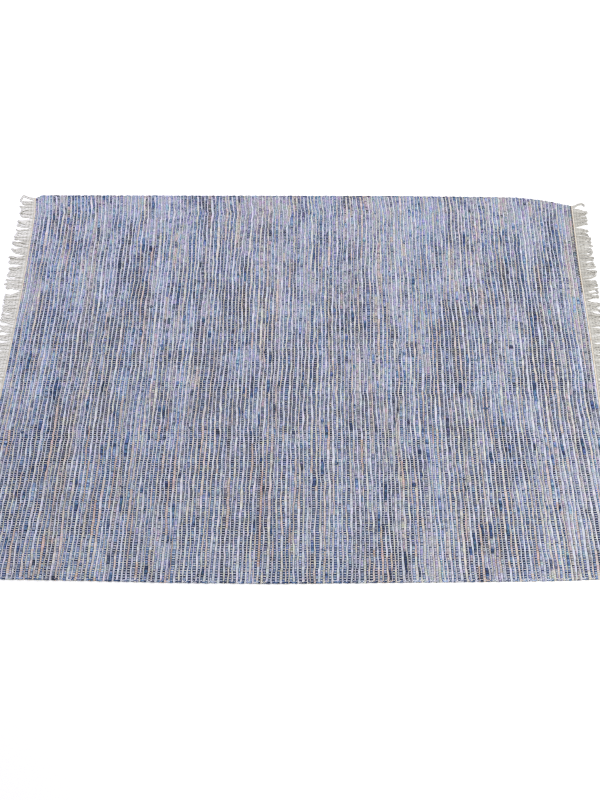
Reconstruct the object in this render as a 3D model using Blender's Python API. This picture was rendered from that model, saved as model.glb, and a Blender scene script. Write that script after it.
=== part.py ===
# A rag rug lying flat, woven with denim rags on a cotton warp.
#
# Three pieces: the woven field, ribbed by its weft, and at each short end a heading
# of cotton yarn with the warp ends left on it as fringe.
# X runs along the rug, in the warp's direction. Y runs across it, along the weft, and
# +Y is the far selvedge. Z is up. The origin is the middle of the footprint, on the floor.
# While the pieces are shaped, x is counted from the field's left end and y from the
# middle of its width. The last step moves all of them to the origin.

import math
import random

import bmesh
import bpy

# Driving dimensions, in metres.
FIELD_LENGTH = 2.000
FIELD_WIDTH = 1.400
PIECE_GAP = 0.0003

# The weft goes in as pairs of one wide rag and one thin yarn, and each pair is one rib.
PAIR_COUNT = 151
PAIR_PITCH = FIELD_LENGTH / PAIR_COUNT
RAG_TOP = 0.0072
YARN_TOP = 0.0052
RIB_UNEVENNESS = 0.0005

# One rib, as (share of the pitch, share of the rise from the yarn to the rag).
RIB_PROFILE = (
    (0.00, 0.00),
    (0.20, 1.00),
    (0.45, 1.00),
    (0.65, 0.00),
)

# Rows of points across the width, as (share of the width from the near selvedge,
# inset in metres, share of the full height, share of the sideways wander).
ROWS = (
    (0.0, 0.000, 0.50, 0.0),
    (0.0, 0.007, 1.00, 0.3),
    (0.35, 0.000, 1.00, 1.0),
    (0.68, 0.000, 1.00, -0.8),
    (1.0, -0.007, 1.00, 0.3),
    (1.0, 0.000, 0.50, 0.0),
)
WANDER = 0.0035
WANDER_WAVES = 5.5

# A rag turns back at the selvedge round every second pair, which leaves a lobe there.
# The same rag goes to and fro, so the far lobes lie between the near ones.
LOBE_OUT = 0.0035
LOBE_JITTER = 0.0012

# The two selvedges, as (distance along the rug, how far the edge lies outside the
# nominal width). The far right corner draws in, and the near edge bows out.
FAR_EDGE = (
    (0.000, -0.012),
    (0.022, 0.000),
    (1.350, -0.003),
    (1.700, -0.008),
    (1.800, -0.010),
    (1.860, -0.017),
    (1.910, -0.026),
    (1.950, -0.035),
    (1.985, -0.045),
    (2.000, -0.048),
)
NEAR_EDGE = (
    (0.000, -0.009),
    (0.190, -0.006),
    (0.370, -0.003),
    (0.630, 0.003),
    (0.940, 0.006),
    (1.270, 0.003),
    (1.590, 0.000),
    (1.810, -0.003),
    (1.880, -0.006),
    (2.000, -0.010),
)

# Heading and fringe. Three warp ends are twisted into each strand.
HEADING_WIDTH = 0.010
HEADING_TOP = 0.0038
STRAND_PITCH = 0.01045
STRAND_ROOT_WIDTH = 0.0054
STRAND_TIP_WIDTH = 0.0044
STRAND_TIP_TOP = 0.0032
TIP_SPACING = 0.0050
REACH_JITTER = 0.0045
TIP_JITTER = 0.0030
BEND_SHARE = (0.35, 0.65)
STRANDS_PER_PANEL = 9

# Where the fringe parts, as (distance from the far end, how far the tips draw back on
# each side, how far along the heading that is felt).
LEFT_REACH = 0.047
LEFT_PARTINGS = (
    (0.000, 0.006, 0.030),
    (0.090, 0.007, 0.025),
    (0.134, 0.007, 0.012),
    (0.255, 0.004, 0.020),
    (0.402, 0.009, 0.030),
    (0.560, 0.005, 0.025),
    (0.735, 0.008, 0.030),
    (0.930, 0.005, 0.020),
    (1.120, 0.008, 0.030),
    (1.270, 0.005, 0.025),
)
RIGHT_REACH = 0.044
RIGHT_PARTINGS = (
    (0.000, 0.007, 0.030),
    (0.098, 0.008, 0.022),
    (0.128, 0.006, 0.010),
    (0.245, 0.006, 0.020),
    (0.400, 0.008, 0.030),
    (0.505, 0.005, 0.015),
    (0.700, 0.006, 0.030),
    (0.860, 0.008, 0.025),
    (1.050, 0.005, 0.030),
    (1.210, 0.007, 0.025),
)

DENIM_COLOUR = (0.215, 0.240, 0.330, 1.0)
COTTON_COLOUR = (0.700, 0.665, 0.590, 1.0)
DENIM_ROUGHNESS = 0.90
COTTON_ROUGHNESS = 0.85

SEED = 41


def clear_scene():
    for item in list(bpy.data.objects):
        bpy.data.objects.remove(item, do_unlink=True)


def fabric(name, colour, roughness):
    material = bpy.data.materials.new(name)
    material.use_nodes = True
    shader = material.node_tree.nodes["Principled BSDF"]
    shader.inputs["Base Color"].default_value = colour
    shader.inputs["Roughness"].default_value = roughness
    shader.inputs["Metallic"].default_value = 0.0
    return material


def add_object(name, bm, material):
    bmesh.ops.recalc_face_normals(bm, faces=bm.faces)
    mesh = bpy.data.meshes.new(name)
    bm.to_mesh(mesh)
    bm.free()
    mesh.materials.append(material)
    item = bpy.data.objects.new(name, mesh)
    bpy.context.collection.objects.link(item)
    return item


def read_table(table, at):
    """The second column of a table at a distance, on straight lines between its rows."""
    for (start, low), (end, high) in zip(table, table[1:]):
        if at <= end:
            return low + (high - low) * (at - start) / (end - start)
    return table[-1][1]


def near_edge(along):
    return -FIELD_WIDTH / 2 - read_table(NEAR_EDGE, along)


def far_edge(along):
    return FIELD_WIDTH / 2 + read_table(FAR_EDGE, along)


def selvedge_lobes(dice, first):
    """How far each pair's boundary stands out: every second one, from the first."""
    lobes = []
    for pair in range(PAIR_COUNT + 1):
        inside = pair in (0, PAIR_COUNT)
        out = LOBE_OUT if pair % 2 == first % 2 else 0.0
        turn = out + dice.uniform(-LOBE_JITTER, LOBE_JITTER)
        lobes.append(0.0 if inside else turn)
    return lobes


def field_columns(dice):
    """(distance along, pair, share of the pair, height) of each column of points."""
    columns = []
    for pair in range(PAIR_COUNT):
        rag_top = RAG_TOP + dice.uniform(-RIB_UNEVENNESS, RIB_UNEVENNESS)
        for share, rise in RIB_PROFILE:
            height = YARN_TOP + (rag_top - YARN_TOP) * rise
            columns.append(((pair + share) * PAIR_PITCH, pair, share, height))
    columns.append((FIELD_LENGTH, PAIR_COUNT, 0.0, YARN_TOP))
    return columns


def lobe_at(lobes, pair, share):
    following = lobes[min(pair + 1, PAIR_COUNT)]
    return lobes[pair] + (following - lobes[pair]) * share


def build_field(material):
    """The ribbed top from a grid, walls down to the floor, and a flat underside."""
    dice = random.Random(SEED)
    near_lobes = selvedge_lobes(dice, 1)
    far_lobes = selvedge_lobes(dice, 2)
    columns = field_columns(dice)
    bm = bmesh.new()

    top = []
    for along, pair, share, height in columns:
        near = near_edge(along) - lobe_at(near_lobes, pair, share)
        far = far_edge(along) + lobe_at(far_lobes, pair, share)
        # The wander dies out at both ends, where the headings lie.
        swing = math.sin(math.pi * along / FIELD_LENGTH)
        wave = math.sin(2 * math.pi * WANDER_WAVES * along / FIELD_LENGTH)
        column = []
        for across, inset, height_share, wander_share in ROWS:
            x = along + WANDER * wander_share * swing * wave
            y = near + (far - near) * across + inset
            column.append(bm.verts.new((x, y, height * height_share)))
        top.append(column)
    for left, right in zip(top, top[1:]):
        for row in range(len(ROWS) - 1):
            bm.faces.new((left[row], right[row], right[row + 1], left[row + 1]))

    # The underside has one point on each selvedge for each pair.
    points_per_pair = len(RIB_PROFILE)
    under = []
    for pair in range(PAIR_COUNT + 1):
        column = top[pair * points_per_pair]
        ends = (column[0].co, column[-1].co)
        under.append([bm.verts.new((end.x, end.y, 0.0)) for end in ends])
    for pair in range(PAIR_COUNT):
        left, right = under[pair], under[pair + 1]
        bm.faces.new((left[0], left[1], right[1], right[0]))
        rib = top[pair * points_per_pair:(pair + 1) * points_per_pair + 1]
        for side in (0, -1):
            crest = [column[side] for column in reversed(rib)]
            bm.faces.new([left[side], right[side]] + crest)
    for end in (0, -1):
        bm.faces.new([under[end][1], under[end][0]] + top[end])
    return add_object("woven_field", bm, material)


def spaced_out(places, spacing):
    """The places again, in order and no nearer each other than the spacing."""
    forward, backward = list(places), list(places)
    for i in range(1, len(places)):
        forward[i] = max(forward[i], forward[i - 1] + spacing)
    for i in range(len(places) - 2, -1, -1):
        backward[i] = min(backward[i], backward[i + 1] - spacing)
    return [(a + b) / 2 for a, b in zip(forward, backward)]


def tip_places(roots, partings, dice):
    """Where the tips lie along the heading, drawn away from each parting."""
    tips = []
    for root in roots:
        drawn = dice.uniform(-TIP_JITTER, TIP_JITTER)
        for at, draw, felt in partings:
            away = math.copysign(1.0, root - at)
            drawn += away * draw * math.exp(-abs(root - at) / felt)
        tips.append(root + drawn)
    return spaced_out(tips, TIP_SPACING)


def set_ring(face, centre_x, centre_y, width, top):
    """Lay a strand's end face out: two points on the floor and two above them."""
    corners = sorted(face.verts, key=lambda vert: (vert.co.z, vert.co.y))
    signs = ((-0.5, 0.0), (0.5, 0.0), (-0.5, 1.0), (0.5, 1.0))
    for vert, (aside, up) in zip(corners, signs):
        vert.co = (centre_x, centre_y + aside * width, up * top)


def build_fringe(name, end_x, outward, reach, partings, seed, material):
    """A heading strip along one end of the field, with its strands drawn out of it."""
    dice = random.Random(seed)
    along = 0.0 if outward < 0 else FIELD_LENGTH
    near, far = near_edge(along), far_edge(along)
    length = far - near
    count = round(length / STRAND_PITCH)
    pitch = length / count
    inner_x = end_x + outward * PIECE_GAP
    outer_x = inner_x + outward * HEADING_WIDTH
    roots = [(strand + 0.5) * pitch for strand in range(count)]
    tips = tip_places(roots, partings, dice)

    bm = bmesh.new()

    def upright(x, y):
        return bm.verts.new((x, y, 0.0)), bm.verts.new((x, y, HEADING_TOP))

    # The outer wall has a face for each root and one for each space between roots.
    wall = [upright(outer_x, far)]
    for root in roots:
        for side in (-0.5, 0.5):
            wall.append(upright(outer_x, far - root - side * STRAND_ROOT_WIDTH))
    wall.append(upright(outer_x, near))
    cells = []
    for (a, a_top), (b, b_top) in zip(wall, wall[1:]):
        cells.append(bm.faces.new((a, b, b_top, a_top)))
    root_faces = cells[1::2]

    # The strip's other faces run in panels of a few strands each.
    breaks = list(range(0, len(wall), 2 * STRANDS_PER_PANEL))
    if len(wall) - 1 - breaks[-1] < STRANDS_PER_PANEL:
        breaks.pop()
    breaks.append(len(wall) - 1)
    inner = [upright(inner_x, wall[stop][0].co.y) for stop in breaks]
    for panel, (start, stop) in enumerate(zip(breaks, breaks[1:])):
        for level in (0, 1):
            outline = [pair[level] for pair in wall[start:stop + 1]]
            outline += [inner[panel + 1][level], inner[panel][level]]
            bm.faces.new(outline)
        (a, a_top), (b, b_top) = inner[panel], inner[panel + 1]
        bm.faces.new((a, b, b_top, a_top))
    for corner, post in ((wall[0], inner[0]), (wall[-1], inner[-1])):
        bm.faces.new((corner[0], corner[1], post[1], post[0]))

    # Each root is drawn out twice: to the strand's bend, and on to its tip.
    for face, root, tip in zip(root_faces, roots, tips):
        length_out = reach + dice.uniform(-REACH_JITTER, REACH_JITTER)
        bend_out = 0.5 * length_out
        bend = root + (tip - root) * dice.uniform(*BEND_SHARE)
        bend_width = (STRAND_ROOT_WIDTH + STRAND_TIP_WIDTH) / 2
        bend_top = (HEADING_TOP + STRAND_TIP_TOP) / 2
        stages = (
            (bend_out, bend, bend_width, bend_top),
            (length_out, tip, STRAND_TIP_WIDTH, STRAND_TIP_TOP),
        )
        for out, place, width, top in stages:
            made = bmesh.ops.extrude_discrete_faces(bm, faces=[face])
            face = made["faces"][0]
            set_ring(face, outer_x + outward * out, far - place, width, top)
    return add_object(name, bm, material)


def move_to_origin(items):
    """Put the middle of the whole footprint at the origin."""
    points = [vert.co for item in items for vert in item.data.vertices]
    middle_x = (min(p.x for p in points) + max(p.x for p in points)) / 2
    middle_y = (min(p.y for p in points) + max(p.y for p in points)) / 2
    for item in items:
        for vert in item.data.vertices:
            vert.co.x -= middle_x
            vert.co.y -= middle_y


def main():
    clear_scene()
    denim = fabric("woven_denim_rag", DENIM_COLOUR, DENIM_ROUGHNESS)
    cotton = fabric("unbleached_cotton", COTTON_COLOUR, COTTON_ROUGHNESS)
    field = build_field(denim)
    left = build_fringe(
        "fringe_left", 0.0, -1, LEFT_REACH, LEFT_PARTINGS, SEED + 1, cotton
    )
    right = build_fringe(
        "fringe_right", FIELD_LENGTH, 1, RIGHT_REACH, RIGHT_PARTINGS, SEED + 2, cotton
    )
    move_to_origin([field, left, right])


main()
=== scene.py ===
# A rag rug lying flat: denim rags woven on a pale cotton warp, with fringe at both short ends.
# Lengths are in metres. A place on the rug is first counted from the field's left end (x) and
# from the middle of its width (y), and onRug takes it to its place in the frame.
import math
import random
from functools import partial

import bmesh
import bpy
import numpy as np
from mathutils import Matrix, Vector


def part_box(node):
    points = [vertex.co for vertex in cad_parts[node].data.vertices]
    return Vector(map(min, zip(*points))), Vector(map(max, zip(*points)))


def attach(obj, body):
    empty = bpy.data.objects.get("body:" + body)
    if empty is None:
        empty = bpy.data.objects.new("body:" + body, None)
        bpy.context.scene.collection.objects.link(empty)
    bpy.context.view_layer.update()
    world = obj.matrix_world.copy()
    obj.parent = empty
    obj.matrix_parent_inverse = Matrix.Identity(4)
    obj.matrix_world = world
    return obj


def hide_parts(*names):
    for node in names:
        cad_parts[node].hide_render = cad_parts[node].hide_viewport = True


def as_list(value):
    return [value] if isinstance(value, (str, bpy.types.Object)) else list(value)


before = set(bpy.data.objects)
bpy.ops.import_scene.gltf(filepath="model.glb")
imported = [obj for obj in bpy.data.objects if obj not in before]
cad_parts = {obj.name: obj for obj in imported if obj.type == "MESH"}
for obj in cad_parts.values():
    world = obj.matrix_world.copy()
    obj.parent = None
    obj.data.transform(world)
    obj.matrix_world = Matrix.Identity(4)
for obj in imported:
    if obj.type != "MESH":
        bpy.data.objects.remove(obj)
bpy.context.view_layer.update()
print("frame loaded:", sorted(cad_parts))

mm = 0.001


def hexColour(code):
    # an sRGB hex value as linear light, which is what the sockets hold
    parts = [int(code[i:i + 2], 16) / 255 for i in (1, 3, 5)]
    linear = [p / 12.92 if p <= 0.04045 else ((p + 0.055) / 1.055) ** 2.4 for p in parts]
    return (*linear, 1.0)


def addNode(tree, kind, inputs=(), ramp=None, **settings):
    # inputs: a node, a socket or a plain value for each, in their order or by name or number.
    # A MapRange takes a value, its two ends, and what the ends become.
    item = tree.nodes.new("ShaderNode" + kind)
    for name, value in settings.items():
        setattr(item, name, value)
    for name, value in inputs.items() if isinstance(inputs, dict) else enumerate(inputs):
        if isinstance(value, bpy.types.Node):
            value = value.outputs[0]
        if isinstance(value, bpy.types.NodeSocket):
            tree.links.new(value, item.inputs[name])
        else:
            item.inputs[name].default_value = value
    if ramp:
        stops = item.color_ramp.elements
        while len(stops) < len(ramp):
            stops.new(0.5)
        for stop, (at, code) in zip(stops, ramp):
            stop.position = at
            stop.color = hexColour(code)
    return item


def newMaterial(name):
    # an empty material, and addNode for its own tree
    material = bpy.data.materials.new(name)
    material.use_nodes = True
    material.node_tree.nodes.clear()
    return material, partial(addNode, material.node_tree)


def meshFrom(bm, name):
    mesh = bpy.data.meshes.new(name)
    bm.to_mesh(mesh)
    bm.free()
    return mesh


def addObject(name, data):
    item = bpy.data.objects.new(name, data)
    bpy.context.collection.objects.link(item)
    return item


def showPiece(mesh, material):
    # the mesh as a piece of the rug, under its own name
    mesh.materials.append(material)
    piece = addObject(mesh.name, mesh)
    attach(piece, "root")
    return piece


def readValues(items, name, kind=np.int32, width=1):
    # a value, or a row of values, of every point, loop or face
    values = np.empty(len(items) * width, kind)
    items.foreach_get(name, values)
    return values if width == 1 else values.reshape(-1, width)


def addMap(mesh, name, places):
    mesh.uv_layers.new(name=name).data.foreach_set("uv", places.astype(np.float32).ravel())


def addLayer(mesh, name, values):
    layer = mesh.attributes.new(name, "FLOAT", "POINT")
    layer.data.foreach_set("value", values.astype(np.float32))


def closedSlab(wide, deep):
    # a grid of one unit with walls and one face below, flat until its relief is poured
    bm = bmesh.new()
    bmesh.ops.create_grid(bm, x_segments=wide, y_segments=deep, size=0.5)
    topFaces = len(bm.faces)
    rim = [edge for edge in bm.edges if edge.is_boundary]
    walls = bmesh.ops.extrude_edge_only(bm, edges=rim)["geom"]
    skirt = [item for item in walls if isinstance(item, bmesh.types.BMEdge) and item.is_boundary]
    bmesh.ops.contextual_create(bm, geom=skirt)
    return bm, topFaces


def smoothTop(mesh, topFaces):
    mesh.polygons.foreach_set("use_smooth", np.arange(len(mesh.polygons)) < topFaces)


def closeRims(bm, sides):
    # caps on the open ends of a spun section
    rims = [edge for edge in bm.edges if edge.is_boundary]
    bmesh.ops.holes_fill(bm, edges=rims, sides=sides)
    bmesh.ops.recalc_face_normals(bm, faces=bm.faces)


# Where the field's edges lie. The numbers are the solids' own.
rug = {
    "length": 2.000,
    "width": 1.400,
    "pairs": 151,               # each is one wide rag and one thin yarn
    "warpSteps": 403,           # from one warp end to the next, 3.5 mm
    "gap": 0.3 * mm,            # between the field and each heading
    "lobeOut": 3.5 * mm,        # how far a rag stands out where it turns back
    "lobeJitter": 1.2 * mm,
    "lobeShown": 0.35,          # of it, in the cloth's own edge; the turns stand out from that
    "lobeFelt": 6 * mm,         # how far in from a selvedge its lobes are felt
    "bowFelt": 0.10,            # and how far in its bow is
    "ribUnevenness": 0.5 * mm,
    "wander": 3.5 * mm,
    "wanderWaves": 5.5,
    # how much of the wander is felt, by share of the way across
    "wanderAcross": ((0, 0), (0.005, 0.3), (0.35, 1), (0.68, -0.8), (0.995, 0.3), (1, 0)),
    "seed": 41,
    "farEdge": (                # distance along, how far the edge lies outside the width
        (0.000, -0.012), (0.022, 0.000), (1.350, -0.003), (1.700, -0.008), (1.800, -0.010),
        (1.860, -0.017), (1.910, -0.026), (1.950, -0.035), (1.985, -0.045), (2.000, -0.048),
    ),
    "nearEdge": (
        (0.000, -0.009), (0.190, -0.006), (0.370, -0.003), (0.630, 0.003), (0.940, 0.006),
        (1.270, 0.003), (1.590, 0.000), (1.810, -0.003), (1.880, -0.006), (2.000, -0.010),
    ),
    # the ends are a little hollow: place across, how far the end lies outside a straight line
    "leftEnd": (
        (-0.70, 0.008), (-0.45, 0.002), (-0.14, -0.002), (0.00, -0.0050), (0.31, -0.0055),
        (0.51, -0.0010), (0.62, 0.002), (0.655, 0.007), (0.70, 0.013),
    ),
    "rightEnd": (
        (-0.70, 0.008), (-0.45, 0.000), (-0.14, -0.0065), (0.00, -0.003), (0.12, 0.000),
        (0.36, 0.001), (0.46, 0.003), (0.565, 0.0065), (0.65, 0.010),
    ),
}
pairs = rug["pairs"]
rows = rug["warpSteps"] + 1
pitch = rug["length"] / pairs
warpStep = rug["width"] / rug["warpSteps"]
pairEnds = np.arange(pairs + 1)


def readTable(table, at):
    places, values = zip(*table)
    return np.interp(at, places, values)


def drawLobes(first):
    lobes = []
    for pair in range(pairs + 1):
        out = rug["lobeOut"] if pair % 2 == first % 2 else 0.0
        turn = out + solidDice.uniform(-rug["lobeJitter"], rug["lobeJitter"])
        lobes.append(0.0 if pair in (0, pairs) else turn)
    return np.array(lobes)


# the lobes and the heights of the rags are drawn in the solids' order, so both agree
solidDice = random.Random(rug["seed"])
nearLobes = drawLobes(1)
farLobes = drawLobes(2)
ragRise = np.array([solidDice.uniform(-1, 1) * rug["ribUnevenness"] for _ in range(pairs)])


def nearLobe(x):
    return -np.interp(x / pitch, pairEnds, nearLobes)


def farLobe(x):
    return np.interp(x / pitch, pairEnds, farLobes)


def nearY(x):
    return -rug["width"] / 2 - readTable(rug["nearEdge"], x) + nearLobe(x)


def farY(x):
    return rug["width"] / 2 + readTable(rug["farEdge"], x) + farLobe(x)


def onRug(x, y, z):
    # a point of the rug in the frame, with the hollow of the ends shared out over its length
    share = np.clip(x / rug["length"], 0, 1)
    out = readTable(rug["rightEnd"], y) * share - readTable(rug["leftEnd"], y) * (1 - share)
    return np.stack(np.broadcast_arrays(x + out + rugOrigin.x, y + rugOrigin.y, z), axis=-1)


fieldLow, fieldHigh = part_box("woven_field")
rugOrigin = Vector((fieldLow[0], fieldLow[1] - nearY(pairEnds * pitch).min(), 0.0))
nearLobes *= rug["lobeShown"]
farLobes *= rug["lobeShown"]
print("field's left end at", round(rugOrigin.x, 4), "and its middle at", round(rugOrigin.y, 4))


view = {
    "imageHigh": 800,
    "focalPixels": 576.8,       # from where the rows of the weave meet
    "sensor": 36.0,
    "place": (1.0849, -0.7487, 1.8198),
    "pitchDown": 70.969,        # degrees below level
    "axisRight": 25.5,          # the photograph's axis lies this many pixels right of its middle
    "nearest": 0.01,
}
studio = {
    "floorSize": 14.0,
    "floorColour": "#fafaf9",
    "skyColour": "#ffffff",
    "skyStrength": 0.70,
    # name, place, size, power, colour
    "lamps": (
        ("keyLight", (2.3, -0.6, 2.6), 2.2, 56.0, "#ffffff"),
        ("fillLight", (-1.7, 2.1, 2.5), 2.4, 60.0, "#ece8ff"),
    ),
    "filterWidth": 1.1,         # narrower than usual: the weave is about a pixel fine
}


def makeCamera():
    data = bpy.data.cameras.new("camera")
    data.sensor_width = view["sensor"]
    data.lens = view["sensor"] * view["focalPixels"] / view["imageHigh"]
    data.shift_x = -view["axisRight"] / view["imageHigh"]
    data.clip_start = view["nearest"]
    camera = addObject("camera", data)
    camera.location = rugOrigin + Vector(view["place"])
    camera.rotation_euler = (math.radians(90 - view["pitchDown"]), 0.0, 0.0)
    bpy.context.scene.camera = camera


def makeStudio():
    scene = bpy.context.scene
    scene.world = bpy.data.worlds.new("softStudio")
    scene.world.use_nodes = True
    sky = scene.world.node_tree.nodes["Background"]
    sky.inputs["Color"].default_value = hexColour(studio["skyColour"])
    sky.inputs["Strength"].default_value = studio["skyStrength"]
    scene.view_settings.view_transform = "Standard"
    scene.cycles.use_denoising = False      # it would wipe away the weave
    scene.cycles.filter_width = studio["filterWidth"]
    for name, spot, size, power, colour in studio["lamps"]:
        data = bpy.data.lights.new(name, "AREA")
        data.shape = "DISK"
        data.size = size
        data.energy = power
        data.color = hexColour(colour)[:3]
        lamp = addObject(name, data)
        lamp.location = spot
        lamp.rotation_euler = (-Vector(spot)).to_track_quat("-Z", "Y").to_euler()


def makeFloor():
    # Matt white painted board: plain, with no gloss to mirror the lamps.
    material, add = newMaterial("whitePaintedBoard")
    place = add("TexCoord").outputs["Object"]
    paint = add("TexNoise", {"Vector": place, "Scale": 40.0, "Detail": 3.0})
    rough = add("MapRange", [paint, 0.0, 1.0, 0.82, 0.92])
    shader = add("BsdfPrincipled", {"Base Color": hexColour(studio["floorColour"]),
                                    "Roughness": rough, "Specular IOR Level": 0.2})
    add("OutputMaterial", {"Surface": shader})
    bm = bmesh.new()
    bmesh.ops.create_grid(bm, x_segments=1, y_segments=1, size=studio["floorSize"] / 2)
    mesh = meshFrom(bm, "floor")
    mesh.materials.append(material)
    addObject("floor", mesh)


makeCamera()
makeStudio()
makeFloor()
print("camera, lamps and floor made")


# The weft in the order in which it was woven in.
weft = {
    "seed": 7,
    # the denims in the bundle: share of the strips, tone, spread of the tone, and
    # warmth, from -1, bright blue, through 0, grey blue, to 1, brown and pink
    "denims": (
        (0.11, 0.39, 0.05, -0.15),  # unworn indigo
        (0.26, 0.52, 0.05, -0.60),  # mid blue
        (0.31, 0.60, 0.06, -0.12),  # washed
        (0.15, 0.57, 0.06, 0.35),   # overdyed grey and brown
        (0.13, 0.78, 0.05, 0.00),   # bleached
        (0.05, 0.78, 0.05, 0.80),   # pinkish
    ),
    "stripWarmth": 0.15,            # how far a strip's warmth strays from its denim's
    "batchLength": (2.2, 0.6, 0.7, 7.0),                    # median, spread, least, most
    "batchTone": 0.05,              # neighbouring rows come from one batch
    "batchWarmth": 0.25,
    "stripLength": (0.100, 0.85, 0.014, 0.900),
    "twistLength": (0.016, 0.6, 0.007, 0.080),              # face and paler back show by turns
    "twistLift": 0.17,
    "backLift": (0.2, 1.0),         # of it, on the back
    "faceLift": -0.35,
    "puffTone": 0.17,
    "girthSpread": 0.08,
    "knotShare": 0.15,              # of the joins, which show as a dark lump
    "knotSize": (0.5, 1.0),
    "knotTone": -0.22,
    "fatShare": 0.030,              # of the twists, where the rag swells over warp and yarn
    "fatTone": (0.36, 0.62),
    "fatBlue": 0.75,                # the share of them that is unworn blue, and not grey
    "fatWarmth": (-1.0, 0.2),       # of a blue and of a grey one
    "fatGirth": 1.22,
    "middleTone": 0.56,
    "contrast": (1.10, 0.65),       # about the middle tone, at the near and at the far side
    # lighter and darker patches: how strong, how many rows and how many warp ends wide
    "patches": ((0.14, 14.0, 70), (0.12, 7.0, 50), (0.24, 2.5, 9), (0.25, 4.0, 26)),
    "speckle": (0.18, 2),           # the same from row to row: how strong, how many warp ends
    "warmer": (-0.10, 0.14),        # at the near and at the far side
    # how much paler the rags are: by place across and by place along
    "fadedAcross": ((-0.70, -0.07), (-0.10, -0.06), (0.15, 0.01), (0.50, 0.17), (0.63, 0.28),
                    (0.70, 0.22)),
    "fadedAlong": ((0.0, 0.00), (0.2, -0.06), (0.6, -0.07), (1.0, -0.01), (1.5, 0.00), (2.0, 0.04)),
    # the thin yarn: share of its lengths, tone
    "yarns": ((0.29, 0.04), (0.28, 0.24), (0.25, 0.46), (0.15, 0.68), (0.03, 0.85)),
    "yarnSpread": 0.04,
    "yarnLength": (0.055, 0.8, 0.012, 0.500),
    "yarnContrast": (1.08, 0.80),   # at the near and at the far side
    # painted shade where the yarn is sunk between the rags, from 0 to 1: how strong, how many warp
    # ends
    "yarnSunkShade": ((0.3, 9), (0.3, 30), (0.4, 2)),
    # painted shade that differs from one crossing of a warp end to the next
    "yarnShadeSpeckle": 0.35,
    # the last weft of all is a dark yarn from this place across: share of its pair, how dark
    "lastWeft": (0.28, 0.62, 2.0),
    # stretches that stand out: distance along, from and to across, rows, tone, warmth
    "streaks": (
        (0.004, 0.68, 0.70, 2, 0.11, 0.15), (0.034, 0.41, 0.46, 1, 0.41, -1.05),
        (0.075, 0.50, 0.55, 1, 0.41, -1.05), (0.102, 0.56, 0.61, 1, 0.41, -0.95),
        (0.151, 0.56, 0.63, 1, 0.16, -0.25), (0.154, -0.45, -0.35, 1, 0.31, -0.65),
        (0.241, 0.50, 0.56, 1, 0.18, -0.35), (0.241, 0.57, 0.66, 3, 0.91, -0.25),
        (0.339, 0.25, 0.50, 1, 0.16, -0.15), (0.373, -0.43, -0.33, 2, 0.28, -1.05),
        (0.402, -0.56, -0.50, 2, 0.26, -0.85), (0.434, -0.45, -0.36, 1, 0.81, 0.75),
        (0.581, -0.67, -0.58, 3, 0.86, -0.15), (0.595, 0.25, 0.53, 2, 0.38, -1.05),
        (0.642, -0.61, -0.49, 2, 0.18, -0.45), (0.726, -0.56, -0.48, 2, 0.31, -0.75),
        (0.812, 0.08, 0.21, 1, 0.24, -0.55), (0.979, -0.49, -0.36, 1, 0.91, -0.15),
        (1.036, 0.36, 0.48, 2, 0.31, -0.65), (1.044, -0.05, 0.23, 1, 0.28, -0.95),
        (1.054, -0.36, -0.05, 1, 0.31, -0.95), (1.068, -0.68, -0.36, 1, 0.26, -0.85),
        (1.143, -0.47, -0.42, 2, 0.26, -0.75), (1.213, 0.50, 0.58, 3, 0.81, -0.15),
        (1.289, -0.44, -0.38, 2, 0.18, 0.05), (1.375, 0.03, 0.10, 3, 0.34, 0.15),
        (1.424, -0.04, 0.05, 2, 0.91, 0.75), (1.455, -0.51, -0.48, 1, 0.31, -1.05),
        (1.513, -0.69, -0.48, 1, 0.12, 0.35), (1.534, -0.33, -0.29, 1, 0.31, -0.75),
        (1.620, -0.26, -0.05, 1, 0.24, -0.75), (1.778, 0.25, 0.53, 2, 0.31, -0.75),
        (1.838, 0.65, 0.68, 1, 0.14, -0.15), (1.841, -0.58, -0.50, 2, 0.91, 0.65),
        (1.912, -0.19, -0.10, 1, 0.36, -1.05), (1.945, 0.44, 0.55, 1, 0.38, -0.95),
        (1.956, -0.02, 0.02, 1, 0.61, -1.15),
    ),
    "streakWeight": 0.85,           # how fully a long stretch takes it; a short one takes it all
    "longStreak": 8,                # warp ends
    "streakFray": 4,                # by how many warp ends its rows differ at most
    # the same for the yarn: distance along, from and to across, tone
    "yarnStreaks": (
        (0.127, -0.68, -0.54, 0.85), (0.136, 0.37, 0.57, 0.78), (0.222, -0.68, -0.56, 0.88),
        (0.302, -0.34, -0.21, 0.85), (0.326, -0.46, -0.33, 0.90), (0.406, -0.48, -0.34, 0.85),
        (0.447, 0.08, 0.21, 0.72), (0.451, 0.36, 0.47, 0.82), (0.592, -0.56, -0.42, 0.80),
        (0.596, -0.42, -0.17, 0.80), (0.780, -0.54, -0.38, 0.80), (0.852, -0.39, -0.27, 0.85),
        (0.875, -0.65, -0.36, 0.92), (0.911, 0.17, 0.34, 0.75), (1.249, -0.67, -0.54, 0.85),
        (1.254, 0.04, 0.18, 0.75), (1.336, -0.42, -0.33, 0.88), (1.409, -0.23, -0.09, 0.80),
        (1.998, -0.30, 0.28, -0.2),
    ),
}
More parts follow.
